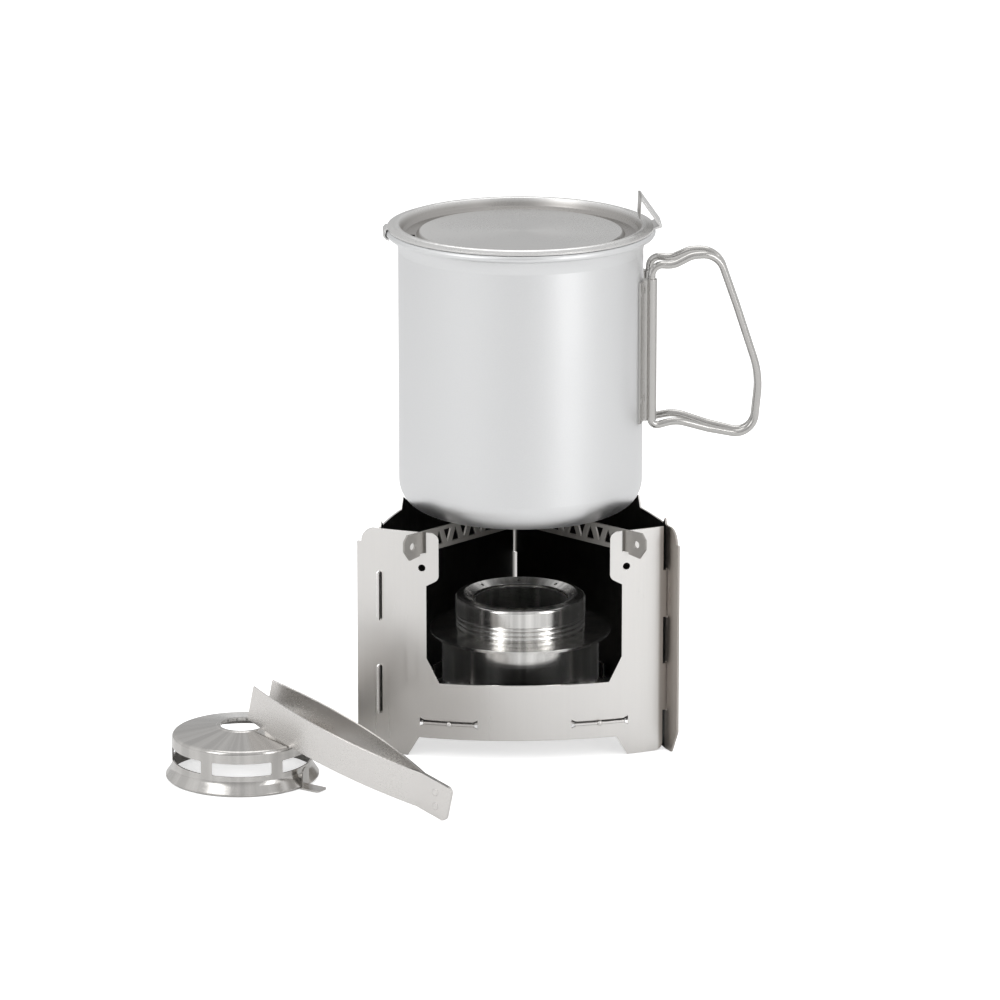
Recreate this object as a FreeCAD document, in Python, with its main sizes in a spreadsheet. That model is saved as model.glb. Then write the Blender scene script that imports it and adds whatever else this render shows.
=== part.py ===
import FreeCAD, Part
import math
import os

import Sketcher

# A camping spirit stove set, in millimetres, +Z up. The origin is on the ground at the stove's axis.
# A stand of three bowed sheet walls hooked together at three corners holds a spirit burner on a base
# plate and a pot on two crossed rails. The burner's simmer ring and a pair of spring tongs lie beside it.

SIZES = [
    # stand walls
    ("corner_half", 56.4, "half the distance between two corner hooks"),
    ("front_bow", 129.0, "bow radius of the front wall"),
    ("rear_bow", 205.0, "bow radius of a rear wall"),
    ("sheet", 0.8, "sheet thickness of walls, base and rails"),
    ("wall_top", 91.0, "height of the walls"),
    ("front_wing_run", 8.4, "how far the front wall's wing runs sideways past its corner"),
    ("front_wing_back", 4.1, "how far the front wall's wing runs back"),
    ("rear_wing_run", 9.3, "how far a rear wall's wing runs sideways past its corner"),
    ("rear_wing_back", 0.9, "how far a rear wall's wing runs inwards"),
    ("tongue", 2.6, "length of the hook tongues past a corner"),
    ("low_slot", 15.6, "bottom of the lower corner slot"),
    ("high_slot", 53.6, "bottom of the upper corner slot"),
    ("slot_height", 20.4, "height of a corner slot"),
    ("slot_width", 2.1, "width of a corner slot"),
    ("relief", 0.9, "extra half-width of a slot's end relief"),
    ("tongue_play", 0.7, "gap above and below a tongue in its slot"),
    ("cut_back", 1.7, "gap between a wall's end and the next wing"),
    ("leg_height", 7.7, "height of the opening between the legs"),
    ("leg_left", 45.5, "left foot of the leg opening"),
    ("leg_right", 40.5, "right foot of the leg opening"),
    ("leg_slope", 4.4, "sideways lean of the leg opening's ends"),
    ("corner_round", 3.0, "rounding of the sheet corners"),
    # front window
    ("window_top", 33.4, "half-width of the window's mouth"),
    ("window_wide", 38.2, "half-width of the window's belly"),
    ("window_sill", 33.2, "half-width of the window's sill"),
    ("mouth_end", 72.4, "lower end of the mouth"),
    ("belly_top", 69.5, "top of the belly"),
    ("belly_end", 40.2, "lower end of the belly"),
    ("sill", 30.2, "height of the sill"),
    ("eyelet", 1.4, "radius of the eyelet below a rail slit"),
    ("eyelet_x", 39.9, "side distance of the eyelets"),
    ("eyelet_z", 76.7, "height of the eyelets"),
    # rails
    ("rail_top", 91.5, "top of the rails, where the pot rests"),
    ("rail_deep", 8.7, "height of a rail"),
    ("slit_front", 39.3, "side distance of the front slits"),
    ("slit_rear", 10.8, "side distance of the rear slits"),
    ("slit_width", 2.2, "width of a rail slit"),
    ("rail_front", 66.5, "reach of a rail to the front"),
    ("rail_rear", 44.5, "reach of a rail to the rear"),
    ("rail_hole", 1.45, "radius of the hole in a rail's tab"),
    ("truss_pitch", 4.7, "pitch of the triangular holes"),
    # horns that centre the pot
    ("horn_x", 26.0, "side distance of a horn's tip"),
    ("horn", 4.8, "height of a horn above the wall"),
    ("spike", 2.4, "height of the small spike at a front corner"),
    # base plate
    ("base_top", 14.5, "top of the base plate"),
    ("tab_near", 19.6, "inner end of a base tab"),
    ("tab_far", 39.6, "outer end of a base tab"),
    ("tab_reach", 1.3, "how far a base tab stands out of the wall"),
    ("clip_ring", 37.0, "distance of the clips that centre the burner"),
    ("clip_wide", 6.5, "width of a clip"),
    ("clip_high", 6.2, "height of a clip above the base plate"),
    ("wall_play", 0.35, "gap between the base plate and a wall"),
    # burner
    ("burner_skin", 0.6, "sheet thickness of the burner"),
    ("burner_body", 31.2, "radius of the burner's body"),
    ("flange", 36.0, "radius of the burner's flange"),
    ("flange_z", 41.0, "height of the flange's top"),
    ("neck", 26.0, "radius of the threaded neck"),
    ("thread_deep", 0.8, "depth of the rolled thread"),
    ("thread_pitch", 1.9, "pitch of the rolled thread"),
    ("burner_top", 55.3, "top of the burner"),
    ("rim", 22.6, "radius of the burner's top edge"),
    ("mouth", 18.9, "radius of the burner's mouth"),
    ("jet", 0.6, "radius of a flame jet"),
    # pot
    ("pot_skin", 0.8, "wall thickness of the pot"),
    ("pot_body", 48.0, "radius of the pot"),
    ("pot_corner", 11.0, "corner radius of the pot's floor"),
    ("pot_top", 203.5, "top of the pot's bead"),
    ("bead", 1.5, "radius of the rolled bead"),
    ("bead_ring", 51.25, "radius of the bead's centre line"),
    # lid
    ("lid_skin", 0.7, "sheet thickness of the lid"),
    ("lid_floor", 201.4, "height of the lid's floor"),
    # handle
    ("wire", 1.5, "radius of the handle wire"),
    ("tube", 2.15, "outer radius of the hinge tube"),
    ("tube_bore", 1.55, "bore of the hinge tube"),
    ("hinge_x", 50.9, "distance of the hinge tubes to the right"),
    ("hinge_y", 8.0, "distance of a hinge tube from the middle"),
    ("tube_low", 127.6, "lower end of a hinge tube"),
    ("tube_high", 184.2, "upper end of a hinge tube"),
    ("plate_arc", 6.4, "width of a bracket plate, in degrees around the pot"),
    ("plate_start", 12.6, "start of a bracket plate, in degrees from the right"),
    ("handle_turn", 8.4, "turn of a handle loop towards the other, in degrees"),
    # simmer ring
    ("ring_x", -110.3, "simmer ring's axis, X"),
    ("ring_y", -60.5, "simmer ring's axis, Y"),
    ("ring_skin", 0.6, "sheet thickness of the ring"),
    ("ring_band", 27.25, "outer radius of the ring's band"),
    ("ring_hem", 29.8, "radius of the flared hem"),
    ("ring_shoulder", 17.0, "height of the ring's shoulder"),
    ("ring_top", 20.3, "height of the ring's top"),
    ("ring_hole", 8.5, "radius of the ring's flame hole"),
    ("vent_low", 7.3, "bottom of the ring's windows"),
    ("vent_high", 12.4, "top of the ring's windows"),
    ("vent_half", 11.4, "half-width of a ring window"),
    # tongs
    ("tong_x", -32.6, "closed end of the tongs, X"),
    ("tong_y", -123.0, "closed end of the tongs, Y"),
    ("tong_turn", 137.9, "heading of the tongs, in degrees"),
    ("tong_lift", 13.5, "slope of the tongs on the ring, in degrees"),
    ("tong_long", 99.3, "length of the tongs"),
    ("tong_deep", 14.0, "height of the tongs' strip"),
    ("tong_skin", 0.8, "thickness of the tongs' strip"),
    ("tong_weld", 15.0, "length of the joined end"),
    ("tong_open", 5.0, "half-gap at the tips"),
    ("tong_bow", 180.0, "bow radius of an arm"),
]

document = FreeCAD.newDocument("SpiritStove")
sheet = document.addObject("Spreadsheet::Sheet", "Sizes")
for row, (alias, number, note) in enumerate(SIZES, start=1):
    sheet.set(f"A{row}", note)
    sheet.set(f"B{row}", str(number))
    sheet.setAlias(f"B{row}", alias)
document.recompute()

SUB_PARTS = []
OVERSHOOT = 5.0
FULL_TURN = 360.0


def spec(text):
    """The expression with each sheet alias written as Sizes.alias."""
    words = {alias for alias, _, _ in SIZES}
    out = ""
    word = ""
    for letter in str(text) + " ":
        if letter.isalnum() or letter == "_":
            word += letter
            continue
        out += f"Sizes.{word}" if word in words else word
        out += letter
        word = ""
    return out.strip()


def number(text):
    """The value of an expression in millimetres or degrees."""
    result = sheet.evalExpression(spec(text))
    return float(getattr(result, "Value", result))


def vector(x, y, z):
    return FreeCAD.Vector(number(x), number(y), number(z))


def place(thing, x="0", y="0", z="0", turn="0"):
    """Moves a sub-part to (x, y, z) and turns it about Z, all bound to the sheet."""
    for axis, text in (("x", x), ("y", y), ("z", z)):
        thing.setExpression(f"Placement.Base.{axis}", spec(text))
    thing.Placement = FreeCAD.Placement(vector(x, y, z), FreeCAD.Rotation(0, 0, 0))
    thing.setExpression("Placement.Rotation.Yaw", spec(turn))


def sub_part(thing):
    SUB_PARTS.append(thing)
    return thing


def new_body(label):
    body = document.addObject("PartDesign::Body", label)
    body.Label = label
    return sub_part(body)


def new_sketch(body, name, role):
    """A sketch on one of the body's own origin planes, such as XZ_Plane."""
    sketch = body.newObject("Sketcher::SketchObject", f"{body.Label}_{name}")
    plane = [item for item in body.Origin.OriginFeatures if item.Role == role][0]
    sketch.AttachmentSupport = [(plane, "")]
    sketch.MapMode = "FlatFace"
    return sketch


def pin_vertex(sketch, edge, vertex, point):
    for kind, text in zip(("DistanceX", "DistanceY"), point):
        index = sketch.addConstraint(Sketcher.Constraint(kind, -1, 1, edge, vertex, number(text)))
        sketch.setExpression(f"Constraints[{index}]", spec(text))


def arc_between(start, end, radius):
    """The short arc from start to end: a positive radius turns anticlockwise, a negative one clockwise."""
    chord = end - start
    middle = (start + end) / 2
    side = FreeCAD.Vector(-chord.y, chord.x, 0)
    side.normalize()
    rise = math.sqrt(max(radius**2 - (chord.Length / 2) ** 2, 0.0))
    centre = middle + side * math.copysign(rise, radius)
    first, last = (start, end) if radius > 0 else (end, start)
    angles = [math.atan2(point.y - centre.y, point.x - centre.x) for point in (first, last)]
    circle = Part.Circle(centre, FreeCAD.Vector(0, 0, 1), abs(radius))
    return Part.ArcOfCircle(circle, angles[0], angles[1])


def draw_loop(sketch, points):
    """A closed outline. A point is (x, y), or (x, y, radius) where an arc leads to the next point."""
    spots = [FreeCAD.Vector(number(point[0]), number(point[1]), 0) for point in points]
    ends = []
    for index, point in enumerate(points):
        start, end = spots[index], spots[(index + 1) % len(points)]
        if len(point) == 2:
            edge = sketch.addGeometry(Part.LineSegment(start, end), False)
            ends.append((edge, 1, 2))
            continue
        radius = number(point[2])
        edge = sketch.addGeometry(arc_between(start, end, radius), False)
        ends.append((edge, 1, 2) if radius > 0 else (edge, 2, 1))
        limit = sketch.addConstraint(Sketcher.Constraint("Radius", edge, abs(radius)))
        sketch.setExpression(f"Constraints[{limit}]", spec(f"abs({point[2]})"))
    for index, (edge, first, last) in enumerate(ends):
        after = ends[(index + 1) % len(ends)]
        sketch.addConstraint(Sketcher.Constraint("Coincident", edge, last, after[0], after[1]))
        pin_vertex(sketch, edge, first, points[index])


def draw_circle(sketch, x, y, radius):
    circle = Part.Circle(vector(x, y, "0"), FreeCAD.Vector(0, 0, 1), number(radius))
    edge = sketch.addGeometry(circle, False)
    pin_vertex(sketch, edge, 3, (x, y))
    index = sketch.addConstraint(Sketcher.Constraint("Radius", edge, number(radius)))
    sketch.setExpression(f"Constraints[{index}]", spec(radius))


def pad(body, sketch, length, symmetric=False):
    feature = body.newObject("PartDesign::Pad", f"{sketch.Label}_pad")
    feature.Profile = sketch
    feature.SideType = "Symmetric" if symmetric else "One side"
    feature.Length = number(length)
    feature.setExpression("Length", spec(length))
    return feature


def cut(body, sketch, both_ways=True, reversed_cut=False):
    """A pocket right through the body, which must take some volume away."""
    document.recompute()
    before = body.Shape.Volume
    feature = body.newObject("PartDesign::Pocket", f"{sketch.Label}_cut")
    feature.Profile = sketch
    feature.Type = "ThroughAll"
    feature.SideType = "Symmetric" if both_ways else "One side"
    feature.Reversed = reversed_cut
    document.recompute()
    if body.Shape.Volume >= before:
        raise RuntimeError(f"{sketch.Label} cuts nothing")
    return feature


def revolved(label, points):
    """A body turned about Z from an outline of (radius, height) points."""
    body = new_body(label)
    sketch = new_sketch(body, "profile", "XZ_Plane")
    draw_loop(sketch, points)
    turn = body.newObject("PartDesign::Revolution", f"{label}_turn")
    turn.Profile = sketch
    turn.ReferenceAxis = (sketch, ["V_Axis"])
    turn.Angle = FULL_TURN
    document.recompute()
    return body


def around(body, feature, count):
    """Repeats a feature evenly about Z."""
    pattern = body.newObject("PartDesign::PolarPattern", f"{feature.Label}_around")
    pattern.Originals = [feature]
    axis = [item for item in body.Origin.OriginFeatures if item.Role == "Z_Axis"][0]
    pattern.Axis = (axis, [""])
    pattern.Angle = FULL_TURN
    pattern.Occurrences = count
    body.Tip = pattern
    document.recompute()
    return pattern


# ---- stand walls -------------------------------------------------------------------------------

CHORD = "corner_half / sqrt(3)"
FACES_FRONT, FACES_REAR_RIGHT, FACES_REAR_LEFT = "0", "120", "-120"


def tall_slot(middle, bottom, top):
    """An upright slot with round ends."""
    half = "slot_width / 2"
    left, right = f"{middle} - {half}", f"{middle} + {half}"
    low, high = f"{bottom} + {half}", f"{top} - {half}"
    return [
        (left, low, "slot_width * 0.501"),
        (right, low),
        (right, high, "slot_width * 0.501"),
        (left, high),
    ]


def long_slot(left, right, bottom, top):
    """A level slot with a flared relief at each end, for a tab of the base plate."""
    flare = "relief"
    return [
        (left, f"{bottom} - {flare}"),
        (f"{left} + 2 * {flare}", bottom),
        (f"{right} - 2 * {flare}", bottom),
        (right, f"{bottom} - {flare}"),
        (right, f"{top} + {flare}"),
        (f"{right} - 2 * {flare}", top),
        (f"{left} + 2 * {flare}", top),
        (left, f"{top} + {flare}"),
    ]


def wall(label, kind, turn, top_cut, eyelets, height):
    """One bowed wall: its left end is a slotted wing, its right end two hook tongues."""
    bow = f"{kind}_bow"
    wing_run, wing_back = f"{kind}_wing_run", f"{kind}_wing_back"
    body = new_body(label)
    rise = f"sqrt(1 - (corner_half / {bow})^2)"
    lean = f"(corner_half / {bow})"
    centre = f"({bow} * {rise} - {CHORD})"

    def on_sheet(side, skin, run="0", back="0"):
        radius = f"({bow} + {skin} * sheet / 2)"
        x = f"{side} * ({radius} * {lean} + {run})"
        y = f"{centre} - {radius} * {rise} + {back}"
        return x, y

    tongue = (f"tongue * {rise}", f"tongue * {lean}")

    plan = new_sketch(body, "plan", "XY_Plane")
    outer_arc = (f"{bow} + sheet / 2",)
    inner_arc = (f"-({bow} - sheet / 2)",)
    draw_loop(
        plan,
        [
            on_sheet(-1, 1) + outer_arc,
            on_sheet(1, 1),
            on_sheet(1, 1, *tongue),
            on_sheet(1, -1, *tongue),
            on_sheet(1, -1) + inner_arc,
            on_sheet(-1, -1),
            on_sheet(-1, -1, wing_run, wing_back),
            on_sheet(-1, 1, wing_run, wing_back),
        ],
    )
    pad(body, plan, height)
    ends = end_cuts(height, wing_run) + [leg_opening(), rounded_wing(wing_run)]
    for name, loops in (("top", [top_cut]), ("ends", ends)):
        edges = new_sketch(body, name, "XZ_Plane")
        for loop in loops:
            draw_loop(edges, loop)
        cut(body, edges)
    holes = new_sketch(body, "openings", "XZ_Plane")
    for loop in shared_openings():
        draw_loop(holes, loop)
    for side in eyelets:
        draw_circle(holes, f"{side} * eyelet_x", "eyelet_z", "eyelet")
    cut(body, holes)
    place(body, turn=turn)


def end_cuts(height, wing_run):
    """Cuts that leave two tongues at the right end and a rounded, pointed wing at the left end."""
    near = "corner_half - cut_back"
    far = f"corner_half + {OVERSHOOT}"
    high = f"{height} + {OVERSHOOT}"
    low = f"0 - {OVERSHOOT}"
    low_end = "low_slot + slot_height"
    high_end = "high_slot + slot_height"
    wing_tip = f"0 - corner_half - {wing_run} - {OVERSHOOT}"
    return [
        [
            (f"{near} - corner_round", low),
            (far, low),
            (far, "low_slot + tongue_play"),
            (near, "low_slot + tongue_play"),
            (near, "corner_round", "0 - corner_round"),
            (f"{near} - corner_round", "0"),
        ],
        [
            (near, f"{low_end} - tongue_play"),
            (far, f"{low_end} - tongue_play"),
            (far, "high_slot + tongue_play"),
            (near, "high_slot + tongue_play"),
        ],
        [(near, f"{high_end} - tongue_play"), (far, f"{high_end} - tongue_play"), (far, high), (near, high)],
        [
            (wing_tip, low),
            (f"0 - corner_half - {wing_run} / 2", low),
            (f"0 - corner_half - {wing_run} / 2", "0"),
            (wing_tip, f"{wing_run} * 2"),
        ],
    ]


def leg_opening():
    """The wide cut between a wall's two feet."""
    return [
        ("0 - leg_left", f"0 - {OVERSHOOT}"),
        ("leg_right", f"0 - {OVERSHOOT}"),
        ("leg_right", "0"),
        ("leg_right - leg_slope", "leg_height"),
        ("leg_slope - leg_left", "leg_height"),
        ("0 - leg_left", "0"),
    ]


def shared_openings():
    """Corner slots in the wing and the slots for the base plate's tabs."""
    slots = [
        tall_slot("(0 - corner_half)", bottom, f"{bottom} + slot_height")
        for bottom in ("low_slot", "high_slot")
    ]
    bottom, top = "base_top - sheet - 0.5", "base_top + 0.5"
    slots.append(long_slot("(0 - tab_far - 1.2)", "(1.2 - tab_near)", bottom, top))
    slots.append(long_slot("(tab_near - 1.2)", "(tab_far + 1.2)", bottom, top))
    return slots


def top_slit(middle, height):
    """A slit open at the top, which a rail drops into."""
    left = f"{middle} - slit_width / 2"
    right = f"{middle} + slit_width / 2"
    floor = "rail_top - rail_deep"
    high = f"{height} + {OVERSHOOT}"
    return [(left, floor), (right, floor), (right, high), (left, high)]


def front_window(height):
    """The burner window, open at the top, with a narrow mouth, a wide belly and a sill."""
    high = f"{height} + {OVERSHOOT}"
    soft = "corner_round"
    return [
        ("0 - window_top - 3 * corner_round", high),
        ("0 - window_top - 3 * corner_round", height),
        (f"0 - window_top - {soft}", height, f"0 - {soft}"),
        ("0 - window_top", f"{height} - {soft}"),
        ("0 - window_top", f"mouth_end + {soft} / 2", f"0 - {soft}"),
        (f"0 - window_top - {soft} / 2", "mouth_end - corner_round / 3"),
        ("0 - window_wide", "belly_top"),
        ("0 - window_wide", "belly_end"),
        ("0 - window_sill", "sill"),
        ("window_sill", "sill"),
        ("window_wide", "belly_end"),
        ("window_wide", "belly_top"),
        (f"window_top + {soft} / 2", "mouth_end - corner_round / 3", f"0 - {soft}"),
        ("window_top", f"mouth_end + {soft} / 2"),
        ("window_top", f"{height} - {soft}", f"0 - {soft}"),
        (f"window_top + {soft}", height),
        ("window_top + 3 * corner_round", height),
        ("window_top + 3 * corner_round", high),
    ]


def rounded_wing(wing_run):
    """Takes the outer top corner of the wing away along an arc."""
    height = "wall_top"
    tip = f"0 - corner_half - {wing_run}"
    soft = "corner_round"
    return [
        (f"{tip} - {OVERSHOOT}", f"{height} - 2 * {soft}"),
        (f"{tip} + {soft} / 2", f"{height} - 2 * {soft}", f"0 - 2 * {soft}"),
        (f"{tip} + 2 * {soft}", height),
        (f"{tip} + 2 * {soft}", f"{height} + {OVERSHOOT}"),
        (f"{tip} - {OVERSHOOT}", f"{height} + {OVERSHOOT}"),
    ]


def rear_top(side, height):
    """Lowers the top edge of a rear wall and leaves the centring horn and the corner spike."""
    high = f"{height} + {OVERSHOOT}"
    points = [
        (f"{side} * (corner_half + rear_wing_run + {OVERSHOOT})", high),
        (f"{side} * (corner_half + rear_wing_run + {OVERSHOOT})", "wall_top"),
        (f"{side} * (corner_half - 2)", "wall_top"),
        (f"{side} * (corner_half - 3)", "wall_top + spike"),
        (f"{side} * (corner_half - 5)", "wall_top"),
        (f"{side} * (horn_x + 2)", "wall_top"),
        (f"{side} * horn_x", "wall_top + horn"),
        (f"{side} * (horn_x - 8)", "wall_top"),
        (f"0 - {side} * (corner_half + rear_wing_run + {OVERSHOOT})", "wall_top"),
        (f"0 - {side} * (corner_half + rear_wing_run + {OVERSHOOT})", high),
    ]
    return points if side < 0 else points[::-1]


def build_walls():
    rear_height = "wall_top + horn"
    wall("front_wall", "front", FACES_FRONT, front_window("wall_top"), (-1, 1), "wall_top")
    for label, turn, side in (
        ("rear_right_wall", FACES_REAR_RIGHT, -1),
        ("rear_left_wall", FACES_REAR_LEFT, 1),
    ):
        wall(label, "rear", turn, rear_top(side, rear_height), (), rear_height)


def cut_slits():
    """The slits for the rails are cut last, because they are open at the walls' top edge."""
    for body in SUB_PARTS:
        middles = {
            "front_wall": ["0 - slit_front", "slit_front"],
            "rear_right_wall": ["slit_rear"],
            "rear_left_wall": ["0 - slit_rear"],
        }[body.Label]
        slits = new_sketch(body, "slits", "XZ_Plane")
        for middle in middles:
            draw_loop(slits, top_slit(middle, "wall_top + horn"))
        cut(body, slits)


# ---- base plate --------------------------------------------------------------------------------


def primitive(kind, name, **sizes):
    item = document.addObject(kind, name)
    for key, text in sizes.items():
        item.setExpression(key, spec(text))
    return item


def wall_disc(name, bow, turn, grow):
    """A thick disc whose edge follows a wall's bow, grown outwards by grow."""
    disc = primitive("Part::Cylinder", name, Radius=f"{bow} + {grow}", Height="sheet")
    reach = f"({bow} * sqrt(1 - (corner_half / {bow})^2) - {CHORD})"
    angle = math.radians(number(turn))
    place(disc, x=f"0 - {reach} * {math.sin(angle):.6f}", y=f"{reach} * {math.cos(angle):.6f}",
          z="base_top - sheet")
    return disc


def common(name, items):
    joined = document.addObject("Part::MultiCommon", name)
    joined.Shapes = items
    return joined


def fuse(name, items):
    joined = document.addObject("Part::MultiFuse", name)
    joined.Shapes = items
    return joined


def build_base():
    """A rounded triangle inside the walls, with two tabs through each wall."""
    walls = [("front_bow", FACES_FRONT), ("rear_bow", FACES_REAR_RIGHT), ("rear_bow", FACES_REAR_LEFT)]
    inside = [
        wall_disc(f"floor_disc_{turn}", bow, turn, "(0 - sheet / 2 - wall_play)") for bow, turn in walls
    ]
    corner_trim = primitive("Part::Cylinder", "floor_trim", Radius="corner_half * 1.02", Height="sheet")
    place(corner_trim, z="base_top - sheet")
    floor = common("floor_plate", inside + [corner_trim])
    pieces = [floor]
    for bow, turn in walls:
        reach = wall_disc(f"tab_disc_{turn}", bow, turn, "(sheet / 2 + tab_reach)")
        bars = []
        for side, start in (("right", "tab_near"), ("left", "0 - tab_far")):
            bar = primitive("Part::Box", f"tab_bar_{side}_{turn}", Length="tab_far - tab_near",
                            Width="burner_body", Height="sheet")
            angle = math.radians(number(turn))
            across, along = f"({start})", "(0 - burner_body - 22)"
            place(bar, x=f"{across} * {math.cos(angle):.6f} - {along} * {math.sin(angle):.6f}",
                  y=f"{across} * {math.sin(angle):.6f} + {along} * {math.cos(angle):.6f}",
                  z="base_top - sheet", turn=turn)
            bars.append(bar)
        pieces.append(common(f"tabs_{turn}", [reach, fuse(f"tab_bars_{turn}", bars)]))
    for name, turn in (("right", "30"), ("left", "150"), ("front", "0 - 90")):
        clip = primitive("Part::Box", f"{name}_clip", Length="sheet", Width="clip_wide",
                         Height="clip_high + sheet")
        angle = math.radians(number(turn))
        across, along = "(0 - clip_wide / 2)", "clip_ring"
        place(clip, x=f"{along} * {math.cos(angle):.6f} - {across} * {math.sin(angle):.6f}",
              y=f"{along} * {math.sin(angle):.6f} + {across} * {math.cos(angle):.6f}",
              z="base_top - sheet", turn=turn)
        pieces.append(clip)
    plate = fuse("base_plate", pieces)
    plate.Label = "base_plate"
    plate.Refine = True
    sub_part(plate)


# ---- rails -------------------------------------------------------------------------------------


def triangle(middle, points_up):
    """One triangular hole of a rail."""
    low, high = "rail_top - rail_deep + 1.8", "rail_top - 1.5"
    flat, tip = (low, high) if points_up else (high, low)
    half = "truss_pitch * 0.43"
    corners = [(f"{middle} - {half}", flat), (f"{middle} + {half}", flat), (middle, tip)]
    return corners if points_up else corners[::-1]


def build_rail(label, turn, notch_from_top):
    """A rail on edge with a pentagon tab at the front, a truss of holes and half of a cross lap."""
    body = new_body(label)
    outline = new_sketch(body, "outline", "XZ_Plane")
    floor = "rail_top - rail_deep"
    lap = "rail_top - rail_deep / 2"
    lap_half = "sheet / 2 + 0.05"
    slit = "slit_front * sqrt(2)"
    top_notch = [(lap_half, "rail_top"), (lap_half, lap), (f"0 - {lap_half}", lap),
                 (f"0 - ({lap_half})", "rail_top")]
    lap_left = f"0 - ({lap_half})"
    low_notch = [(lap_left, floor), (lap_left, lap), (lap_half, lap), (lap_half, floor)]
    top_notch[2] = (f"0 - ({lap_half})", lap)
    points = [
        (f"0 - rail_front + 3", f"{floor} - 1.6"),
        (f"0 - {slit} - 2.2", f"{floor} - 0.8"),
        (f"0 - {slit} - 2.2", floor),
    ]
    points += [] if notch_from_top else low_notch
    points += [("rail_rear", floor), ("rail_rear", "rail_top - 1.5"), ("rail_rear - 1.5", "rail_top")]
    points += top_notch if notch_from_top else []
    points += [("2 - rail_front", "rail_top"), ("0 - rail_front", "rail_top - 2.5"),
               ("0 - rail_front", f"{floor} + 2.4")]
    draw_loop(outline, points)
    pad(body, outline, "sheet", symmetric=True)
    holes = new_sketch(body, "truss", "XZ_Plane")
    last = int((number("slit_rear") + 17) / number("truss_pitch"))
    first = int((number(slit) - 4) / number("truss_pitch"))
    for step in range(-first, last + 1):
        if abs(step) > 1:
            draw_loop(holes, triangle(f"{step} * truss_pitch", step % 2 == 0))
    draw_circle(holes, "0 - rail_front + 4.6", f"{floor} + rail_deep / 2 - 0.6", "rail_hole")
    cut(body, holes)
    place(body, turn=turn)


# ---- burner ------------------------------------------------------------------------------------


def build_burner():
    floor = "base_top"
    skin = "burner_skin"
    flange_under = "flange_z - 2 * burner_skin"
    revolved(
        "burner_lower_shell",
        [
            ("0", floor),
            ("burner_body - 3", floor, "3"),
            ("burner_body", f"{floor} + 3"),
            ("burner_body", flange_under),
            ("flange - 0.3", flange_under),
            ("flange - 0.3", "flange_z - burner_skin"),
            (f"burner_body - {skin}", "flange_z - burner_skin"),
            (f"burner_body - {skin}", f"{floor} + 3", f"0 - 3 + {skin}"),
            ("burner_body - 3", f"{floor} + {skin}"),
            ("0", f"{floor} + {skin}"),
        ],
    )
    turns = 3
    collar = "flange_z + 0.8"
    outside = [("flange", f"flange_z - {skin}"), ("flange", "flange_z"), ("neck + 2", "flange_z + 0.5")]
    for turn in range(turns):
        outside.append(("neck - thread_deep", f"{collar} + {turn} * thread_pitch", "thread_pitch * 0.62"))
    outside += [
        ("neck - thread_deep", f"{collar} + {turns} * thread_pitch"),
        ("neck - 0.2", f"{collar} + {turns} * thread_pitch + 0.2"),
        ("neck - 0.2", "burner_top - 1.9", "1.6"),
        ("neck - 1.9", "burner_top - 0.5"),
        ("rim", "burner_top"),
        ("mouth", "burner_top - 1.8"),
    ]
    inside = [
        ("mouth", f"burner_top - 1.9 - {skin}"),
        ("rim", f"burner_top - {skin} - 0.1"),
        ("neck - 1.9", f"burner_top - 0.6 - {skin}"),
        (f"neck - thread_deep - {skin}", "burner_top - 2.3"),
        (f"neck - thread_deep - {skin}", f"flange_z - {skin} + 0.4"),
        ("neck - thread_deep + 0.6", f"flange_z - {skin}"),
    ]
    upper = revolved("burner_upper_shell", outside + inside)
    jets = new_sketch(upper, "jet", "XY_Plane")
    draw_circle(jets, "(rim + mouth) / 2", "0", "jet")
    around(upper, cut(upper, jets), 8)
    cup = "mouth - 0.3"
    revolved(
        "burner_inner_cup",
        [
            ("0", f"{floor} + {skin}"),
            (cup, f"{floor} + {skin}"),
            (cup, "burner_top - 2.6"),
            (f"{cup} - {skin}", "burner_top - 2.6"),
            (f"{cup} - {skin}", f"{floor} + 2 * {skin}"),
            ("0", f"{floor} + 2 * {skin}"),
        ],
    )
    revolved(
        "burner_wick",
        [
            (f"mouth + 0.3", f"{floor} + {skin}"),
            (f"mouth + 3.6", f"{floor} + {skin}"),
            (f"mouth + 3.6", "burner_top - 5"),
            (f"mouth + 0.3", "burner_top - 5"),
        ],
    )


# ---- pot and lid -------------------------------------------------------------------------------


def build_pot():
    inner = "pot_body - pot_skin"
    round_end = "pot_body - pot_corner"
    middle = "pot_top - bead"
    revolved(
        "pot_body",
        [
            ("0", "rail_top"),
            (round_end, "rail_top", "pot_corner"),
            ("pot_body", "rail_top + pot_corner"),
            ("pot_body", f"{middle} - 7", "0 - 14"),
            ("bead_ring - bead * 0.8", f"{middle} - bead * 0.6", "bead"),
            ("bead_ring + bead", middle, "bead"),
            ("bead_ring", "pot_top", "bead"),
            ("bead_ring - bead", middle, "14"),
            (inner, f"{middle} - 7"),
            (inner, "rail_top + pot_corner", "0 - pot_corner + pot_skin"),
            (round_end, "rail_top + pot_skin"),
            ("0", "rail_top + pot_skin"),
        ],
    )


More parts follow.
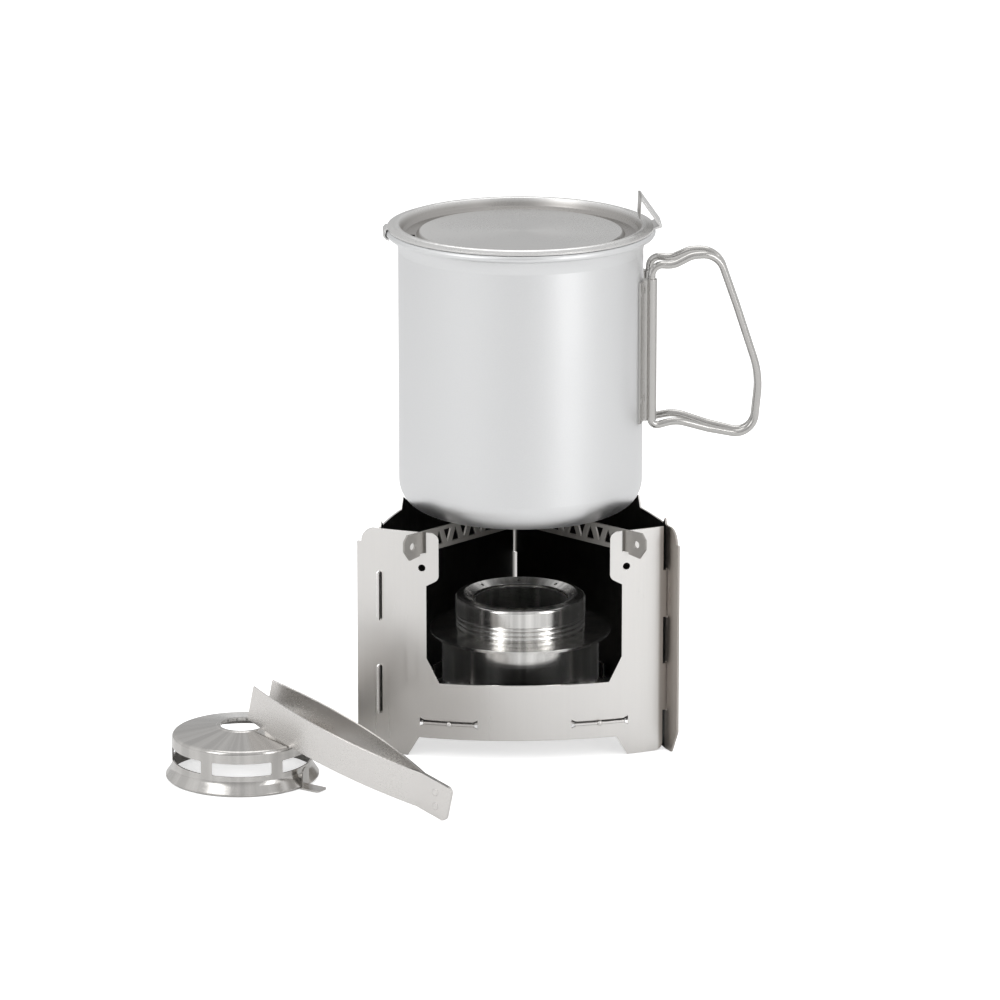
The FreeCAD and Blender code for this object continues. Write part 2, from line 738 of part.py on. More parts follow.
def build_lid():
    """A pressed lid: a raised rim over the bead, a recess, a hook lug and a thumb tab."""
    skin = "lid_skin"
    rest = "pot_top + 0.05"
    lid = revolved(
        "pot_lid",
        [
            ("0", "lid_floor"),
            ("39.2", "lid_floor"),
            ("40.4", "lid_floor - 1.2"),
            ("45.6", "lid_floor - 1.2", "1.4"),
            ("47", "lid_floor + 0.2"),
            ("47.6", f"{rest} + 0.5"),
            ("49.2", rest),
            ("bead_ring + 0.9", rest),
            ("bead_ring + 0.9", f"{rest} + {skin}"),
            ("50", f"{rest} + 1.3", "2"),
            ("47.6", f"{rest} + 1.4"),
            ("46.2", "lid_floor + 0.6"),
            ("45.2", f"lid_floor - 1.2 + {skin}"),
            ("40.8", f"lid_floor - 1.2 + {skin}"),
            ("39.6", f"lid_floor + {skin}"),
            ("0", f"lid_floor + {skin}"),
        ],
    )
    drain = new_sketch(lid, "drain", "XY_Plane")
    draw_loop(drain, [("-44.6", "-4"), ("-41.4", "-4"), ("-41.4", "-0.5"), ("-44.6", "-0.5")])
    cut(lid, drain)
    bead_clear = "(bead + 0.45)"
    middle = "(pot_top - bead)"
    lug = new_sketch(lid, "lug", "XZ_Plane")
    draw_loop(
        lug,
        [
            ("0 - bead_ring + 0.3", f"{rest} + {skin}"),
            ("0 - bead_ring + 0.3", f"{rest} + 0.1"),
            ("0 - bead_ring - 0.3", f"{middle} + {bead_clear}", f"{bead_clear} + 0.02"),
            (f"0 - bead_ring - {bead_clear}", middle, f"{bead_clear}"),
            ("0 - bead_ring - 0.2", f"{middle} - {bead_clear}"),
            ("0 - bead_ring - 0.2", f"{middle} - {bead_clear} - {skin}"),
            ("0 - bead_ring - 1.4", f"{middle} - {bead_clear} - {skin} + 0.2"),
            (f"0 - bead_ring - {bead_clear} - {skin}", f"{middle} - 0.8"),
            (f"0 - bead_ring - {bead_clear} - {skin}", f"{middle} + 1"),
            ("0 - bead_ring - 1.6", f"{rest} + {skin}"),
        ],
    )
    pad(lid, lug, "9", symmetric=True)
    tab = new_sketch(lid, "tab", "XZ_Plane")
    draw_loop(
        tab,
        [
            ("bead_ring + 0.2", rest),
            ("54.7", f"{rest} + 0.9"),
            ("54.9", f"{rest} + 1.6"),
            ("47.1", f"{rest} + 12.6"),
            ("46.2", f"{rest} + 12.6"),
            ("45.9", f"{rest} + 4.6"),
            ("46.4", f"{rest} + 4.6"),
            ("46.8", f"{rest} + 11.4"),
            ("53.7", f"{rest} + 1.6"),
            ("bead_ring + 0.2", f"{rest} + {skin}"),
        ],
    )
    pad(lid, tab, "15", symmetric=True)
    document.recompute()


# ---- handle ------------------------------------------------------------------------------------


def build_bracket(label, side):
    """A plate welded to the pot that runs out into an upright hinge tube."""
    height = "tube_high - tube_low"

    def sector(name, radius, arc, turn):
        item = primitive("Part::Cylinder", f"{label}_{name}", Radius=radius, Height=height, Angle=arc)
        place(item, z="tube_low", turn=turn)
        return item

    begin = "0 - plate_start - plate_arc" if side < 0 else "plate_start - 4"
    neck = "0 - plate_start + 0.6" if side < 0 else "plate_start - 4"
    plate = sector("plate", "pot_body + 0.05 + sheet", "plate_arc + 4", begin)
    web = sector("web", "pot_body + 2.1", "3.4", neck)
    tube = primitive("Part::Cylinder", f"{label}_tube", Radius="tube", Height=height)
    bore = primitive("Part::Cylinder", f"{label}_bore", Radius="tube_bore", Height=height)
    for item in (tube, bore):
        place(item, x="hinge_x", y=f"{side} * hinge_y", z="tube_low")
    pot_room = primitive("Part::Cylinder", f"{label}_pot_room", Radius="pot_body + 0.05", Height=height)
    place(pot_room, z="tube_low")
    bracket = document.addObject("Part::Cut", label)
    bracket.Base = fuse(f"{label}_blank", [plate, web, tube])
    bracket.Tool = fuse(f"{label}_hollows", [bore, pot_room])
    bracket.Label = label
    bracket.Refine = True
    sub_part(bracket)


WIRE_CORNERS = [
    # distance from the hinge, height, bend radius
    ("0", "tube_high - 22", None),
    ("0", "tube_high + 5.9", 4.0),
    ("8.5", "tube_high + 5.0", 9.0),
    ("16", "tube_high + 8.6", 9.0),
    ("26.5", "tube_high + 9.0", 9.0),
    ("34", "tube_high - 12", 60.0),
    ("43.5", "tube_low + 16", 36.0),
    ("41", "tube_low - 8.6", 7.5),
    ("23", "tube_low - 4.6", 30.0),
    ("10", "tube_low - 0.6", 14.0),
    ("0", "tube_low - 2.9", 2.6),
    ("0", "tube_low + 22", None),
]


def rounded_wire(corners):
    """A wire through the corners, each rounded by its own bend radius."""
    edges = []
    here = corners[0][0]
    for index in range(1, len(corners) - 1):
        corner, radius = corners[index]
        before = (corners[index - 1][0] - corner).normalize()
        after = (corners[index + 1][0] - corner).normalize()
        half = before.getAngle(after) / 2
        setback = radius / math.tan(half)
        bisector = (before + after).normalize()
        start = corner + before * setback
        end = corner + after * setback
        middle = corner + bisector * (radius / math.sin(half) - radius)
        edges.append(Part.LineSegment(here, start).toShape())
        edges.append(Part.Arc(start, middle, end).toShape())
        here = end
    edges.append(Part.LineSegment(here, corners[-1][0]).toShape())
    return Part.Wire(edges)


def build_handle(label, side):
    """A flat wire loop whose two ends stand in the hinge tube."""
    corners = [(vector(x, "0", z), radius) for x, z, radius in WIRE_CORNERS]
    path = rounded_wire(corners)
    circle = Part.Circle(corners[0][0], FreeCAD.Vector(0, 0, 1), number("wire"))
    section = Part.Wire([circle.toShape()])
    handle = document.addObject("Part::Feature", label)
    handle.Label = label
    handle.Shape = path.makePipeShell([section], True, True)
    place(handle, x="hinge_x", y=f"{side} * hinge_y", turn=f"0 - {side} * handle_turn")
    sub_part(handle)


# ---- simmer ring -------------------------------------------------------------------------------


def build_ring():
    inner = "ring_band - ring_skin"
    ring = revolved(
        "simmer_ring",
        [
            ("ring_hem - 0.4", "0"),
            ("ring_hem", "0.4"),
            ("ring_hem", "0.9"),
            ("ring_band + 0.8", "3.4", "0 - 4"),
            ("ring_band", "5.4"),
            ("ring_band", "ring_shoulder - 1.2", "1.6"),
            ("ring_band - 1.6", "ring_shoulder + 0.4"),
            ("ring_hole + 1.6", "ring_top - 0.3"),
            ("ring_hole + 1.2", "ring_top"),
            ("ring_hole", "ring_top"),
            ("ring_hole", "ring_top - 1.2"),
            ("ring_hole + ring_skin", "ring_top - 1.2"),
            ("ring_hole + 1.4", "ring_top - 0.4 - ring_skin"),
            ("ring_band - 1.8", "ring_shoulder + 0.3 - ring_skin"),
            (inner, "ring_shoulder - 1.4"),
            (inner, "5.2"),
            (f"{inner} + 0.7", "3.2"),
            ("ring_hem - ring_skin - 0.5", "0"),
        ],
    )
    place(ring, x="ring_x", y="ring_y")
    vent = new_sketch(ring, "vent", "XZ_Plane")
    corner = "0.6"
    left, right = f"0 - vent_half", "vent_half"
    draw_loop(
        vent,
        [
            (f"{left} + {corner}", "vent_low"),
            (f"{right} - {corner}", "vent_low", corner),
            (right, f"vent_low + {corner}"),
            (right, f"vent_high - {corner}", corner),
            (f"{right} - {corner}", "vent_high"),
            (f"{left} + {corner}", "vent_high", corner),
            (left, f"vent_high - {corner}"),
            (left, f"vent_low + {corner}", corner),
        ],
    )
    around(ring, cut(ring, vent, both_ways=False, reversed_cut=True), 6)


def build_grip():
    """The ring's finger lug: a round-headed post on the band with a flat foot that runs outwards."""
    grip = new_body("simmer_ring_grip")
    post = new_sketch(grip, "post", "YZ_Plane")
    draw_loop(post, [("-1.9", "0"), ("1.9", "0"), ("1.9", "6.4", "1.9001"), ("-1.9", "6.4")])
    raised = pad(grip, post, "ring_skin")
    raised.Reversed = False
    foot = new_sketch(grip, "foot", "XY_Plane")
    outline = [("0", "-3.2"), ("7.6", "-3.2"), ("8.4", "-2.4"), ("8.4", "2.4"), ("7.6", "3.2"), ("0", "3.2")]
    draw_loop(foot, outline)
    pad(grip, foot, "ring_skin")
    angle = "-36"
    reach = "(ring_hem + 0.15)"
    turned = math.radians(number(angle))
    place(grip,
          x=f"ring_x + {reach} * {math.cos(turned):.6f}",
          y=f"ring_y + {reach} * {math.sin(turned):.6f}",
          turn=angle)


# ---- tongs -------------------------------------------------------------------------------------


def build_tong_arm(label, side):
    """Half of the tongs: a strip that is flat at the joined end and then bows outwards."""
    arm = new_body(label)
    plan = new_sketch(arm, "plan", "XY_Plane")
    skin = "tong_skin"
    joint = "0.02"
    points = [
        ("0", joint),
        ("tong_weld", joint, "0 - tong_bow"),
        ("tong_long", "tong_open"),
        ("tong_long", f"tong_open + {skin}", "tong_bow"),
        ("tong_weld - 0.2", f"{skin} + {joint}"),
        ("0", f"{skin} + {joint}"),
    ]
    if side < 0:
        points = [
            ("0", f"0 - {joint}"),
            ("0", f"0 - {skin} - {joint}"),
            ("tong_weld - 0.2", f"0 - {skin} - {joint}", "tong_bow"),
            ("tong_long", f"0 - tong_open - {skin}"),
            ("tong_long", "0 - tong_open", "0 - tong_bow"),
            ("tong_weld", f"0 - {joint}"),
        ]
    draw_loop(plan, points)
    pad(arm, plan, "tong_deep")
    ends = new_sketch(arm, "ends", "XZ_Plane")
    soft = "2.2"
    low_corner = [
        ("0 - 1", "0 - 1"),
        (soft, "0 - 1"),
        (soft, "0", f"0 - {soft}"),
        ("0", soft),
        ("0 - 1", soft),
    ]
    draw_loop(ends, low_corner)
    draw_loop(
        ends,
        [
            ("0 - 1", f"tong_deep - {soft}"),
            ("0", f"tong_deep - {soft}", f"0 - {soft}"),
            (soft, "tong_deep"),
            (soft, "tong_deep + 1"),
            ("0 - 1", "tong_deep + 1"),
        ],
    )
    cut(arm, ends)
    lie_on_ring(arm)


def lie_on_ring(arm):
    """Lays a tong arm with its closed end on the ground and its strip across the simmer ring."""
    arm.setExpression("Placement.Base.x", spec("tong_x"))
    arm.setExpression("Placement.Base.y", spec("tong_y"))
    arm.Placement = FreeCAD.Placement(vector("tong_x", "tong_y", "0"), FreeCAD.Rotation(0, 0, 0))
    arm.setExpression("Placement.Rotation.Yaw", spec("tong_turn"))
    arm.setExpression("Placement.Rotation.Pitch", spec("0 - tong_lift"))


# ---- the whole set -----------------------------------------------------------------------------

build_walls()
cut_slits()
build_base()
build_rail("pot_rail_left", "45", True)
build_rail("pot_rail_right", "135", False)
build_burner()
build_pot()
build_lid()
for name, side in (("front", -1), ("rear", 1)):
    build_bracket(f"{name}_handle_bracket", side)
    build_handle(f"{name}_handle_wire", side)
build_ring()
build_grip()
build_tong_arm("tong_arm_rear", -1)
build_tong_arm("tong_arm_front", 1)
document.recompute()

for item in document.Objects:
    if "Invalid" in item.State or "Error" in item.State:
        raise RuntimeError(f"{item.Label} failed: {item.State}")
os.makedirs("parts", exist_ok=True)
for item in SUB_PARTS:
    if item.Shape.isNull() or not item.Shape.isValid():
        raise RuntimeError(f"{item.Label} has no valid shape")
    item.Shape.exportStep(f"parts/{item.Label}.step")
    print(item.Label, len(item.Shape.Solids), round(item.Shape.Volume, 1))
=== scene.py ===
import math

import bmesh
import bpy
from mathutils import Matrix, Vector


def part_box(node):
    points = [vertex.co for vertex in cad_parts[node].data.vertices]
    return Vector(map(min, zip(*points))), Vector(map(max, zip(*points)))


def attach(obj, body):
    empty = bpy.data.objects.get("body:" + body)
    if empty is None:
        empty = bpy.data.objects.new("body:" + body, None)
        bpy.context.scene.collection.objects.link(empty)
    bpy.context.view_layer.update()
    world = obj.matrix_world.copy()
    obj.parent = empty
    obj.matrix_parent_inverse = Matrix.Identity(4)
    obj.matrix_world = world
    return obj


# A spirit stove set in soft studio light. Everything is in metres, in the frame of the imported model.

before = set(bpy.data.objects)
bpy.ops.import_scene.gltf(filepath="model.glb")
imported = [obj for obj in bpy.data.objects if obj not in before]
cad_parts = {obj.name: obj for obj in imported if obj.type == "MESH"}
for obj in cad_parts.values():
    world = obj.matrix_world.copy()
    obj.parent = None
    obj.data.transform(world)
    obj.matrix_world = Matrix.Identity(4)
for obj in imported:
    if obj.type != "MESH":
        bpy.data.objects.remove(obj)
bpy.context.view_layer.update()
MM = 0.001


# ---- shader helpers ----------------------------------------------------------------------------


class Paint:
    """Builds one node material. Its helpers add nodes and return their useful output."""

    def __init__(self, name):
        self.material = bpy.data.materials.new(name)
        self.material.use_nodes = True
        self.tree = self.material.node_tree
        self.shader = self.tree.nodes["Principled BSDF"]
        self.place = self.node("ShaderNodeTexCoord").outputs["Object"]
        self.geometry = self.node("ShaderNodeNewGeometry")

    def node(self, kind, **settings):
        made = self.tree.nodes.new(kind)
        for key, value in settings.items():
            setattr(made, key, value)
        return made

    def feed(self, socket, value):
        if isinstance(value, bpy.types.NodeSocket):
            self.tree.links.new(value, socket)
        else:
            socket.default_value = value

    def set(self, name, value):
        self.feed(self.shader.inputs[name], value)

    def math(self, operation, *values, clamp=False):
        made = self.node("ShaderNodeMath", operation=operation, use_clamp=clamp)
        for socket, value in zip(made.inputs, values):
            self.feed(socket, value)
        return made.outputs[0]

    def stretch(self, scale, turn=(0.0, 0.0, 0.0), shift=(0.0, 0.0, 0.0), source=None):
        made = self.node("ShaderNodeMapping")
        self.feed(made.inputs["Vector"], source or self.place)
        made.inputs["Location"].default_value = shift
        made.inputs["Rotation"].default_value = turn
        made.inputs["Scale"].default_value = scale
        return made.outputs[0]

    def noise(self, vector, scale, detail=3.0, roughness=0.55):
        made = self.node("ShaderNodeTexNoise")
        self.feed(made.inputs["Vector"], vector)
        made.inputs["Scale"].default_value = scale
        made.inputs["Detail"].default_value = detail
        made.inputs["Roughness"].default_value = roughness
        return made.outputs["Fac"]

    def remap(self, value, low, high, new_low, new_high, smooth=False):
        made = self.node("ShaderNodeMapRange")
        made.interpolation_type = "SMOOTHSTEP" if smooth else "LINEAR"
        limits = {"From Min": low, "From Max": high, "To Min": new_low, "To Max": new_high}
        for name, number in limits.items():
            made.inputs[name].default_value = number
        self.feed(made.inputs["Value"], value)
        return made.outputs["Result"]

    def blend(self, factor, first, second):
        made = self.node("ShaderNodeMix", data_type="RGBA")
        self.feed(made.inputs["Factor"], factor)
        self.feed(made.inputs["A"], first)
        self.feed(made.inputs["B"], second)
        return made.outputs["Result"]

    def split(self, vector):
        made = self.node("ShaderNodeSeparateXYZ")
        self.feed(made.inputs[0], vector)
        return made.outputs

    def bump(self, height, strength, distance, normal=None):
        made = self.node("ShaderNodeBump")
        made.inputs["Strength"].default_value = strength
        made.inputs["Distance"].default_value = distance
        self.feed(made.inputs["Height"], height)
        if normal is not None:
            self.feed(made.inputs["Normal"], normal)
        return made.outputs["Normal"]

    def soft_edge(self, radius):
        made = self.node("ShaderNodeBevel", samples=4)
        made.inputs["Radius"].default_value = radius
        return made.outputs["Normal"]

    def edge_mask(self, soft):
        """1 along sharp edges, where the softened normal leaves the true one."""
        made = self.node("ShaderNodeVectorMath", operation="DOT_PRODUCT")
        self.feed(made.inputs[0], soft)
        self.feed(made.inputs[1], self.geometry.outputs["Normal"])
        return self.remap(made.outputs["Value"], 0.99, 0.80, 0.0, 1.0)


def rgb(red, green, blue):
    return (red, green, blue, 1.0)


def radial_place(paint, centre=(0.0, 0.0)):
    """Cylinder coordinates about an upright axis: angle, height and radius, for turned parts."""
    x, y, z = paint.split(paint.place)
    x = paint.math("SUBTRACT", x, centre[0])
    y = paint.math("SUBTRACT", y, centre[1])
    angle = paint.math("ARCTAN2", y, x)
    squares = paint.math("ADD", paint.math("MULTIPLY", x, x), paint.math("MULTIPLY", y, y))
    radius = paint.math("SQRT", squares)
    return angle, z, radius


def join(paint, x, y, z):
    made = paint.node("ShaderNodeCombineXYZ")
    for socket, value in zip(made.inputs, (x, y, z)):
        paint.feed(socket, value)
    return made.outputs[0]


def metal(name, colour, roughness, grain, grain_scale=900.0, spread=0.08, depth=0.00002, edge=0.00025,
          worn=0.12, blotch=0.04):
    """A brushed metal: grain holds the stretch of the brushing, spread the range of its roughness."""
    paint = Paint(name)
    lines = paint.noise(paint.stretch(grain), grain_scale, detail=4.0)
    cloud = paint.noise(paint.place, 22.0, detail=2.0)
    fine = paint.noise(paint.place, 2600.0, detail=2.0)
    soft = paint.soft_edge(edge)
    rim = paint.edge_mask(soft)
    rough = paint.remap(lines, 0.3, 0.7, roughness - spread, roughness + spread)
    rough = paint.math("ADD", rough, paint.remap(cloud, 0.3, 0.7, -blotch, blotch))
    rough = paint.math("SUBTRACT", rough, paint.math("MULTIPLY", rim, worn), clamp=True)
    tone = paint.remap(lines, 0.25, 0.75, 0.93, 1.0)
    tone = paint.math("MULTIPLY", tone, paint.remap(fine, 0.3, 0.7, 0.97, 1.0))
    dark = tuple(channel * 0.55 for channel in colour)
    # painted highlight: a lighter copy of the colour is laid along sharp edges, which are also made
    # smoother by the worn roughness
    light = tuple(min(1.0, channel * 1.18) for channel in colour)
    base = paint.blend(tone, rgb(*dark), rgb(*colour))
    base = paint.blend(paint.math("MULTIPLY", rim, 0.5), base, rgb(*light))
    paint.set("Base Color", base)
    paint.set("Metallic", 1.0)
    paint.set("Roughness", rough)
    paint.set("Normal", paint.bump(lines, 0.25, depth, soft))
    paint.base = base
    paint.rough = rough
    return paint


def dress(node, paint):
    """Puts one material on every slot of a CAD node."""
    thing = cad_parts[node]
    for slot in thing.material_slots:
        slot.material = paint.material


# ---- materials ---------------------------------------------------------------------------------

INSIDE_RADIUS = (0.0635, 0.0650)  # the painted inner shade ends here, so that the walls' wings stay bright
PAINTED_END_REFLECTION = (0.0527, 0.0537)  # painted dark reflection: the right end of the stand is painted brown-grey from here
# painted shade: the dark ring in the lid's groove lies between these radii
LID_GROOVE_SHADE_OUTER = (0.0478, 0.0466)
LID_GROOVE_SHADE_INNER = (0.0392, 0.0402)
# painted reflection: how dark the painted streaks on turned steel go
PAINTED_STREAK_DARK = 0.45


def wall_steel():
    """Satin stainless sheet with painted shade: near-black on the inside and darker across the lower
    left, with a painted dark reflection on the right end strip.
    """
    paint = metal("stand_steel", (0.80, 0.785, 0.765), 0.34, (1.0, 1.0, 0.03), spread=0.05)
    x, y, z = paint.split(paint.place)
    flat = join(paint, x, y, 0.0)
    inward = paint.node("ShaderNodeVectorMath", operation="DOT_PRODUCT")
    paint.feed(inward.inputs[0], paint.geometry.outputs["Normal"])
    paint.feed(inward.inputs[1], flat)
    facing_in = paint.remap(inward.outputs["Value"], -0.012, -0.02, 0.0, 1.0)
    _, _, radius = radial_place(paint)
    within = paint.remap(radius, *INSIDE_RADIUS, 1.0, 0.0)
    inner = paint.math("MULTIPLY", facing_in, within)
    # painted shade: the base colour darkens towards the lower left of the walls
    low = paint.remap(z, 0.055, 0.012, 0.0, 1.0, smooth=True)
    left = paint.remap(x, 0.02, -0.045, 0.0, 1.0, smooth=True)
    painted_low_left_shade = paint.math("MULTIPLY", paint.math("MULTIPLY", low, left), 0.6)
    base = paint.blend(painted_low_left_shade, paint.base, rgb(0.36, 0.34, 0.315))
    # painted dark reflection: the right end strip is painted brown-grey
    end = paint.remap(x, *PAINTED_END_REFLECTION, 0.0, 0.8)
    base = paint.blend(end, base, rgb(0.36, 0.325, 0.295))
    cloud = paint.noise(paint.place, 90.0)
    # painted shade: the inward faces are painted near-black, standing in for the dark reflection
    # inside the stand
    painted_inner_shade = paint.blend(cloud, rgb(0.015, 0.015, 0.015), rgb(0.05, 0.048, 0.045))
    base = paint.blend(inner, base, painted_inner_shade)
    paint.set("Base Color", base)
    paint.set("Roughness", paint.math("ADD", paint.rough, paint.math("MULTIPLY", inner, 0.12)))
    return paint


def turned_steel(name, colour, roughness, centre=(0.0, 0.0), spread=0.05, painted_streak=1.0):
    """Steel spun about an upright axis: fine rings, and painted reflection streaks of changing
    brightness around it.
    """
    paint = metal(name, colour, roughness, (1.0, 1.0, 1.0), spread=0.02)
    angle, z, radius = radial_place(paint, centre)
    slow_angle = paint.math("MULTIPLY", angle, 0.0004)
    rings = paint.noise(join(paint, radius, z, slow_angle), 5200.0, detail=3.0)
    # painted reflection: streaks of light and dark are painted into the base colour around the axis
    painted_streaks = paint.noise(join(paint, angle, 0.0, 0.0), 5.0, detail=2.0)
    around = paint.remap(painted_streaks, 0.35, 0.65, painted_streak, 1.0, smooth=True)
    dark = rgb(*(channel * PAINTED_STREAK_DARK for channel in colour))
    paint.set("Base Color", paint.blend(around, dark, paint.base))
    rough = paint.math("ADD", paint.rough, paint.remap(rings, 0.3, 0.7, -spread, spread), clamp=True)
    paint.set("Roughness", rough)
    paint.set("Anisotropic", 0.5)
    paint.set("Normal", paint.bump(rings, 0.12, 0.00002, paint.soft_edge(0.0002)))
    return paint


def pot_metal():
    """Fine bead-blasted metal, matt and silky."""
    return metal("pot_metal", (0.79, 0.795, 0.80), 0.42, (1.0, 1.0, 1.0), grain_scale=1800.0,
                 spread=0.03, depth=0.000015, blotch=0.02)


def lid_metal():
    """Spun sheet with painted shade: a dark ring painted in the groove inside the rim stands in for a
    dark reflection, so the floor reads lighter.
    """
    colour = (0.72, 0.715, 0.705)
    paint = turned_steel("lid_metal", colour, 0.30, spread=0.03)
    _, _, radius = radial_place(paint)
    # painted shade: a dark ring is painted into the groove
    outer = paint.remap(radius, *LID_GROOVE_SHADE_OUTER, 0.0, 1.0, smooth=True)
    inner = paint.remap(radius, *LID_GROOVE_SHADE_INNER, 0.0, 1.0, smooth=True)
    painted_groove_shade = paint.math("MULTIPLY", paint.math("MULTIPLY", outer, inner), 0.75)
    paint.set("Base Color", paint.blend(painted_groove_shade, paint.base, rgb(0.27, 0.255, 0.24)))
    return paint


def felt():
    paint = Paint("wick_felt")
    fibre = paint.noise(paint.place, 3800.0, detail=6.0, roughness=0.7)
    cloud = paint.noise(paint.place, 160.0)
    paint.set("Base Color", paint.blend(fibre, rgb(0.52, 0.48, 0.40), rgb(0.86, 0.82, 0.74)))
    paint.set("Roughness", paint.remap(cloud, 0.3, 0.7, 0.85, 1.0))
    paint.set("Normal", paint.bump(fibre, 0.6, 0.0003))
    return paint


def ring_centre():
    low, high = (Vector(corner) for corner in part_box("simmer_ring"))
    middle = (low + high) / 2
    return middle.x, middle.y


STAND_NODES = ("front_wall", "rear_right_wall", "rear_left_wall", "base_plate")
BURNER_STEEL_NODES = ("burner_lower_shell", "burner_upper_shell", "burner_inner_cup")


def dress_all():
    stand = wall_steel()
    for node in STAND_NODES:
        dress(node, stand)
    rail = metal("rail_steel", (0.40, 0.385, 0.365), 0.36, (1.0, 1.0, 8.0), spread=0.06)
    for node in ("pot_rail_left", "pot_rail_right"):
        dress(node, rail)
    burner = turned_steel("burner_steel", (0.82, 0.81, 0.79), 0.2, painted_streak=0.3)
    for node in BURNER_STEEL_NODES:
        dress(node, burner)
    dress("burner_wick", felt())
    dress("pot_body", pot_metal())
    dress("pot_lid", lid_metal())
    wire = metal("handle_steel", (0.54, 0.53, 0.515), 0.2, (1.0, 1.0, 0.1), spread=0.05, edge=0.0001)
    for side in ("front", "rear"):
        dress(f"{side}_handle_wire", wire)
        dress(f"{side}_handle_bracket", wire)
    ring = turned_steel("ring_steel", (0.62, 0.605, 0.585), 0.18, ring_centre(), painted_streak=0.65)
    for node in ("simmer_ring", "simmer_ring_grip"):
        dress(node, ring)
    tong = metal("tong_steel", (0.76, 0.74, 0.72), 0.28, (1.0, 1.0, 6.0), spread=0.02, depth=0.000004)
    for node in ("tong_arm_front", "tong_arm_rear"):
        dress(node, tong)
    plate_welds(wire.material)
    base_nubs(stand.material)
    tong_welds(tong.material)


# ---- small pressed and welded details -----------------------------------------------------------

PRESSED_SIDES = 32


def on_surface(node, start, towards):
    """The point and outward direction where a line from start meets a CAD node, in the rest frame."""
    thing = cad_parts[node]
    inverse = thing.matrix_world.inverted()
    origin = inverse @ Vector(start)
    direction = (inverse.to_3x3() @ Vector(towards)).normalized()
    found, point, normal, _ = thing.ray_cast(origin, direction)
    if not found:
        raise ValueError(f"{node} isn't where the detail should sit")
    return thing.matrix_world @ point, (thing.matrix_world.to_3x3() @ normal).normalized()


def pressed(name, place, outward, profile, body, material):
    """A turned profile of (radius, height) pairs standing on a surface."""
    outward = Vector(outward).normalized()
    upright = Vector((0.0, 0.0, 1.0))
    second = (upright - outward * outward.dot(upright)).normalized()
    first = second.cross(outward)
    mesh = bpy.data.meshes.new(name)
    built = bmesh.new()
    rows = []
    for radius, height in profile:
        row = []
        for index in range(PRESSED_SIDES):
            angle = math.tau * index / PRESSED_SIDES
            side = first * (radius * math.cos(angle)) + second * (radius * math.sin(angle))
            row.append(built.verts.new(side + outward * height))
        rows.append(row)
    for low, high in zip(rows, rows[1:]):
        for index in range(PRESSED_SIDES):
            following = (index + 1) % PRESSED_SIDES
            built.faces.new((low[index], low[following], high[following], high[index]))
    built.faces.new(rows[0])
    built.faces.new(rows[-1])
    bmesh.ops.recalc_face_normals(built, faces=built.faces)
    for face in built.faces:
        face.smooth = True
    built.to_mesh(mesh)
    built.free()
    piece = bpy.data.objects.new(name, mesh)
    bpy.context.collection.objects.link(piece)
    piece.location = place
    mesh.materials.append(material)
    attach(piece, body)


def profile_mm(*pairs):
    return [(radius * MM, height * MM) for radius, height in pairs]


WELD = profile_mm((1.7, -0.05), (1.6, 0.10), (1.3, 0.16), (1.0, 0.08), (0.4, 0.04))
NUB = profile_mm((1.0, -0.1), (0.95, 0.25), (0.7, 0.5), (0.3, 0.6))
DIMPLE = profile_mm((1.5, -0.05), (1.4, 0.12), (1.1, 0.2), (0.8, 0.12), (0.3, 0.05))
PLATE_WELD_TURN = 16.0
PLATE_WELD_HEIGHTS = (0.1365, 0.1795)
NUB_SIDE = 0.0296
NUB_HEIGHT = 0.0141
TONG_WELD_FROM_END = 0.008
TONG_WELD_HEIGHTS = (0.005, 0.0105)


def plate_welds(material):
    """Two spot welds on each bracket plate."""
    for side, sign in (("front", -1), ("rear", 1)):
        turn = math.radians(PLATE_WELD_TURN) * sign
        outward = Vector((math.cos(turn), math.sin(turn), 0.0))
        for index, height in enumerate(PLATE_WELD_HEIGHTS):
            start = outward * 0.08 + Vector((0.0, 0.0, height))
            place, normal = on_surface(f"{side}_handle_bracket", start, -outward)
            pressed(f"{side}_plate_weld_{index}", place, normal, WELD, "pot", material)


def base_nubs(material):
    """A rounded nub in the middle of every base tab, outside the wall."""
    for index, turn in enumerate((0.0, 120.0, -120.0)):
        swing = Matrix.Rotation(math.radians(turn), 3, "Z")
        for side in (-1, 1):
            start = swing @ Vector((side * NUB_SIDE, -0.09, NUB_HEIGHT))
            towards = swing @ Vector((0.0, 1.0, 0.0))
            place, normal = on_surface("base_plate", start, towards)
            name = f"base_nub_{index}_{'left' if side < 0 else 'right'}"
            pressed(name, place, normal, NUB, "stand", material)


def tong_welds(material):
    """Spot welds that join the tongs' arms at their closed end."""
    low, high = (Vector(corner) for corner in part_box("tong_arm_front"))
    closed = Vector((high.x, low.y, low.z))
    heading = Vector((low.x - high.x, high.y - low.y, 0.0)).normalized()
    across = Vector((heading.y, -heading.x, 0.0))
    if across.y > 0:
        across = -across
    for index, height in enumerate(TONG_WELD_HEIGHTS):
        start = closed + heading * TONG_WELD_FROM_END + across * 0.03 + Vector((0.0, 0.0, height))
        place, normal = on_surface("tong_arm_front", start, -across)
        pressed(f"tong_weld_{index}", place, normal, DIMPLE, "tong_arm", material)


# ---- stage, lights and camera ------------------------------------------------------------------


def seen_by_camera(tree):
    """1 for what the camera sees straight on, 0 for what lights or mirrors it."""
    return tree.nodes.new("ShaderNodeLightPath").outputs["Is Camera Ray"]


FLOOR_HALF = 6.0
FLOOR_GAP = 0.0002
FLOOR_GLOW = 0.62
ROOM_DARK = 0.48
ROOM_SIDES = 0.36
ROOM_TOP = 0.30


